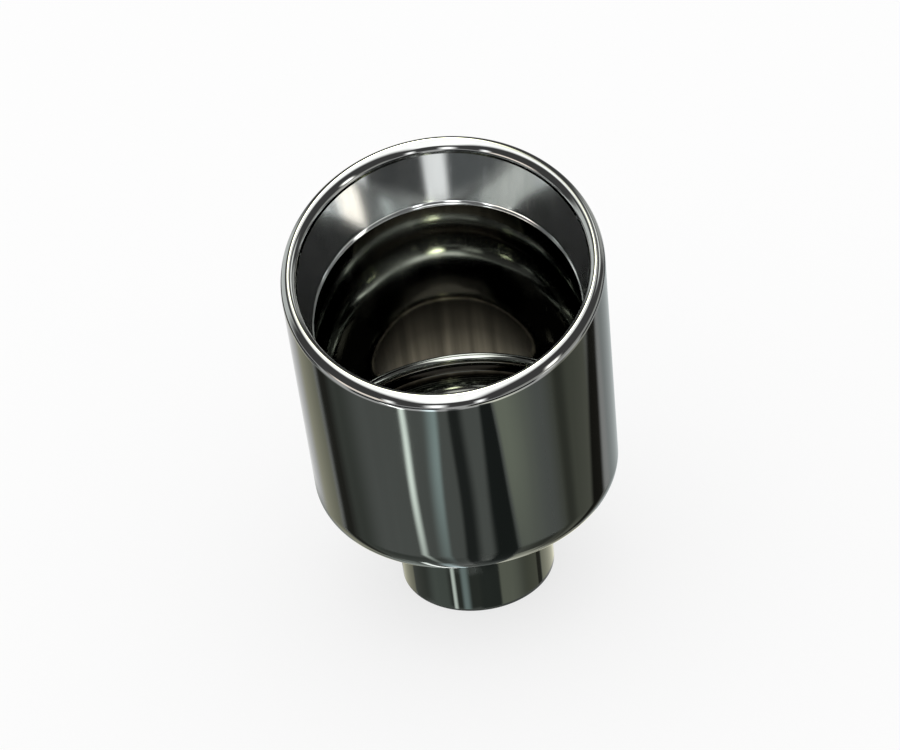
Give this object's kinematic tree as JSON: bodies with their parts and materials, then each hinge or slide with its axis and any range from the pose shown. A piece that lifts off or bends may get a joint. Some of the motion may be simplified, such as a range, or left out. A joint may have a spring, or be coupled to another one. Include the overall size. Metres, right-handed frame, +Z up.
{
  "type": "exhaust tip",
  "caption": "Slash-cut polished steel exhaust tip: wide outlet body with a rolled rim and an inner lip, a rounded bottom, and a narrower inlet pipe that slips over a tailpipe.",
  "frame": {"origin": "centre of the inlet pipe's open end, which is the bottom of the standing part", "axes": "+Z up the axis from the inlet to the outlet; -Y is the low side of the slash-cut mouth, so the mouth faces -Y and up; +X is to the right seen from -Y"},
  "size_m": [0.102, 0.102, 0.1398],
  "materials": {
    "shell_steel": "mirror-polished stainless steel",
    "liner_steel": "mirror-polished stainless steel",
    "pipe_steel": "polished stainless steel, straw heat tint inside",
    "weld_steel": "weld metal, lightly heat tinted"
  },
  "bodies": {
    "root": {"outer_shell": "shell_steel", "inner_liner": "liner_steel", "inlet_pipe": "pipe_steel", "inlet_weld": "weld_steel"}
  },
  "joints": []
}
